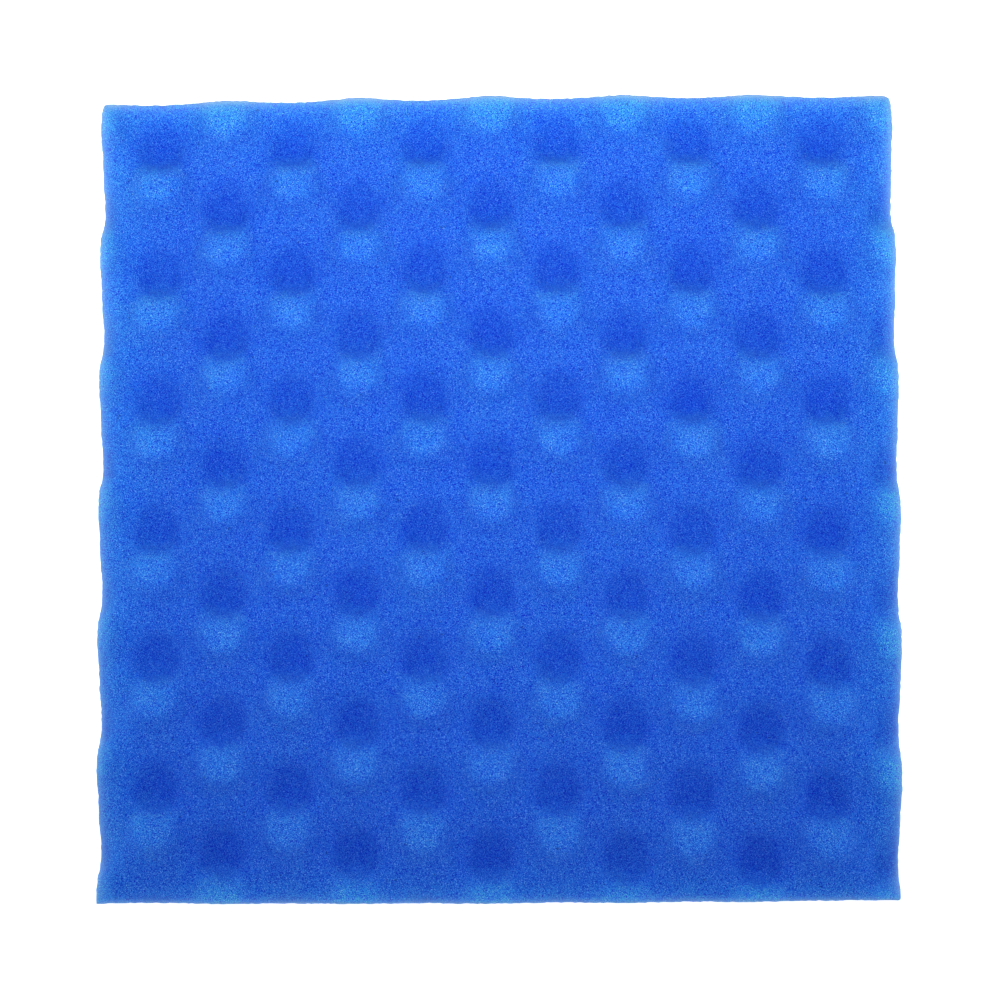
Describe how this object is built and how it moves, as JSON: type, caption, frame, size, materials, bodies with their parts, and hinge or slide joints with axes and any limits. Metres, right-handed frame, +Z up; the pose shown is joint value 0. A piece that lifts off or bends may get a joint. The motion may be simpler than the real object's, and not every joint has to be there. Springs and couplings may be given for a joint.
{
  "type": "filter sponge sheet",
  "caption": "Near-square sheet of blue open-cell filter foam, flat underneath, with a convoluted top of rounded knobs and pits.",
  "frame": {"origin": "middle of the flat underside", "axes": "+Z up, from the flat underside to the convoluted top; +Y along the sheet's longer side, from each knob to the pit beside it; +X across it"},
  "size_m": [0.2994, 0.3034, 0.03],
  "materials": {
    "foam": "open-cell polyurethane foam, matte, saturated blue"
  },
  "bodies": {
    "root": {"foam_sheet": "foam"}
  },
  "joints": []
}
